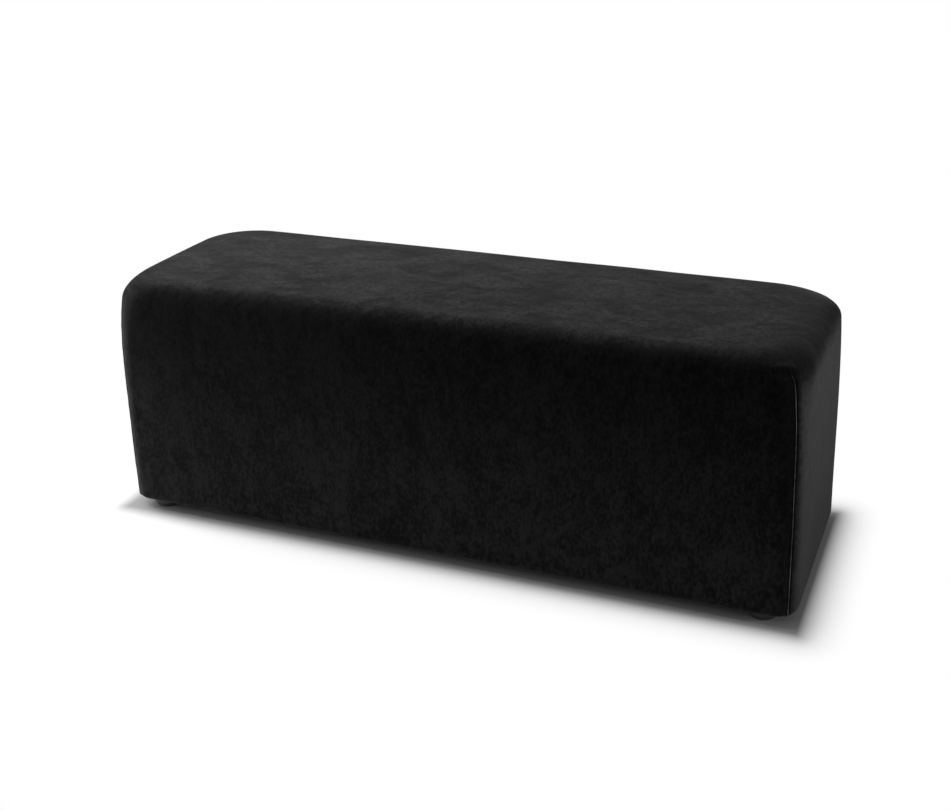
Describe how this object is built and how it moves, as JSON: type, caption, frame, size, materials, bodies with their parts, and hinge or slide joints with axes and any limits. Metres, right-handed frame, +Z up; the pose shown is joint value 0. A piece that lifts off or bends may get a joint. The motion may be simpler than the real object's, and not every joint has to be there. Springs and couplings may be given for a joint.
{
  "type": "upholstered bench",
  "caption": "Long upholstered bench: a soft-edged velvet box over a wooden frame, padded with foam, standing on low round plastic feet.",
  "frame": {"origin": "on the floor under the middle of the bench", "axes": "+X along the bench's length to the right end, -Y to the front, +Z up"},
  "size_m": [1.25, 0.4, 0.45],
  "materials": {
    "velvet": "matte",
    "plywood": "matte",
    "pine": "matte",
    "foam": "matte",
    "wadding": "matte",
    "dust_cloth": "matte",
    "foot_plastic": "satin",
    "screw_zinc": "satin",
    "staple_steel": "satin"
  },
  "bodies": {
    "root": {"front_panel": "plywood", "rear_panel": "plywood", "left_end_panel": "plywood", "right_end_panel": "plywood", "seat_board": "plywood", "left_cross_rib": "plywood", "right_cross_rib": "plywood", "front_left_post": "pine", "front_right_post": "pine", "rear_left_post": "pine", "rear_right_post": "pine", "front_top_rail": "pine", "rear_top_rail": "pine", "front_bottom_rail": "pine", "rear_bottom_rail": "pine", "left_bottom_rail": "pine", "right_bottom_rail": "pine", "panel_screws": "screw_zinc", "rail_screws": "screw_zinc", "seat_board_screws": "screw_zinc", "seat_foam": "foam", "front_foam": "foam", "rear_foam": "foam", "left_end_foam": "foam", "right_end_foam": "foam", "wadding": "wadding", "velvet_cover": "velvet", "hem_staples": "staple_steel", "dust_cloth_staples": "staple_steel", "dust_cloth": "dust_cloth", "front_left_foot": "foot_plastic", "front_right_foot": "foot_plastic", "rear_left_foot": "foot_plastic", "rear_right_foot": "foot_plastic", "foot_screws": "screw_zinc"}
  },
  "joints": []
}
